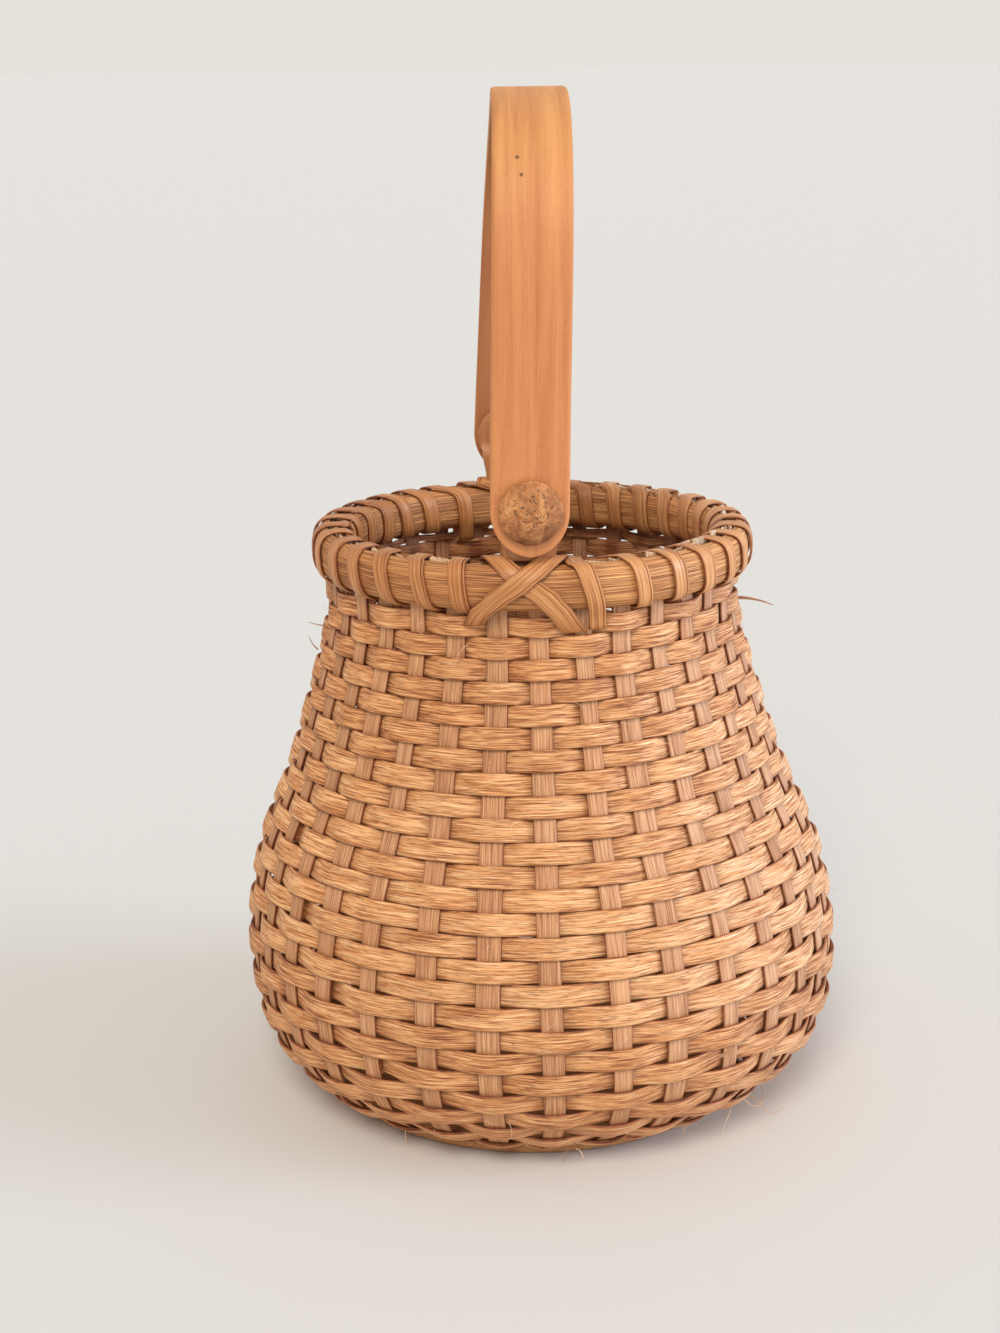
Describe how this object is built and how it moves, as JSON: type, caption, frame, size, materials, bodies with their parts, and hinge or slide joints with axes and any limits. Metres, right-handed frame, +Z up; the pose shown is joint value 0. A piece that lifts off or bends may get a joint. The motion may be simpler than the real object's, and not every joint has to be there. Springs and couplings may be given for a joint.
{
  "type": "basket",
  "caption": "Woven splint basket with a full belly, narrow neck, lashed rim hoops and a bent wooden swing handle on two pegs.",
  "frame": {"origin": "middle of the base's flat underside", "axes": "+Z up; +Y from the near ear to the far ear, along the handle's hinge line; +X to the right as seen from the near ear"},
  "size_m": [0.2161, 0.2161, 0.3557],
  "materials": {
    "base_wood": "satin",
    "stave_reed": "matte",
    "weaver_reed": "matte",
    "hoop_reed": "matte",
    "lashing_reed": "satin",
    "ear_wood": "satin",
    "peg_wood": "matte",
    "handle_wood": "satin"
  },
  "bodies": {
    "basket": {"base": "base_wood", "stave_01": "stave_reed", "stave_02": "stave_reed", "stave_03": "stave_reed", "stave_04": "stave_reed", "stave_05": "stave_reed", "stave_06": "stave_reed", "stave_07": "stave_reed", "stave_08": "stave_reed", "stave_09": "stave_reed", "stave_10": "stave_reed", "stave_11": "stave_reed", "stave_12": "stave_reed", "stave_13": "stave_reed", "stave_14": "stave_reed", "stave_15": "stave_reed", "stave_16": "stave_reed", "stave_17": "stave_reed", "stave_18": "stave_reed", "stave_19": "stave_reed", "stave_20": "stave_reed", "stave_21": "stave_reed", "stave_22": "stave_reed", "stave_23": "stave_reed", "stave_24": "stave_reed", "stave_25": "stave_reed", "stave_26": "stave_reed", "stave_27": "stave_reed", "stave_28": "stave_reed", "stave_29": "stave_reed", "stave_30": "stave_reed", "stave_31": "stave_reed", "stave_32": "stave_reed", "stave_33": "stave_reed", "weaver_1": "weaver_reed", "weaver_2": "weaver_reed", "weaver_3": "weaver_reed", "weaver_4": "weaver_reed", "weaver_5": "weaver_reed", "weaver_6": "weaver_reed", "weaver_7": "weaver_reed", "weaver_8": "weaver_reed", "weaver_9": "weaver_reed", "outer_hoop": "hoop_reed", "inner_hoop": "hoop_reed", "rim_lashing_near": "lashing_reed", "rim_lashing_far": "lashing_reed", "near_ear": "ear_wood", "far_ear": "ear_wood", "near_peg": "peg_wood", "far_peg": "peg_wood"},
    "handle": {"handle": "handle_wood"}
  },
  "joints": [
    {"name": "handle_swing", "type": "hinge", "parent": "basket", "child": "handle", "pos_m": [-0.0047, 0, 0.2257], "axis": [0, 1, 0], "range_deg": [-100, 100]}
  ]
}
